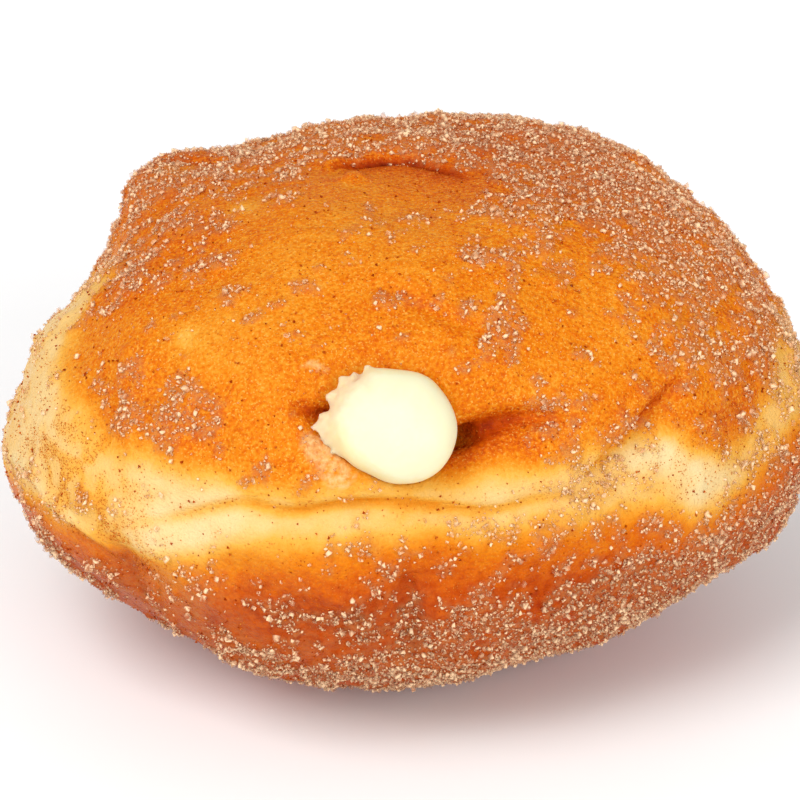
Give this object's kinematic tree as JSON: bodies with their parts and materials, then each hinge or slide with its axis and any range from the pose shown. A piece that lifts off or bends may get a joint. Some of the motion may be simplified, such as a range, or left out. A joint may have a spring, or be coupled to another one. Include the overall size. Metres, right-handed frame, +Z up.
{
  "type": "custard-filled doughnut",
  "caption": "Round fried yeast doughnut with a pale waist, folded crust and cinnamon sugar, with a drop of custard coming out of a slit in its front.",
  "frame": {"origin": "under the middle of the doughnut, on the surface that it rests on", "axes": "+Z up, -Y out of the front with the slit, +X to the right of someone looking at the slit"},
  "size_m": [0.0928, 0.0852, 0.0584],
  "materials": {
    "crust": "golden brown fried dough with a pale waist, matt with a slight oily sheen",
    "custard": "smooth moist pale yellow custard",
    "sugar": "translucent sugar crystals with cinnamon"
  },
  "bodies": {
    "root": {"dough": "crust", "custard": "custard"}
  },
  "joints": []
}
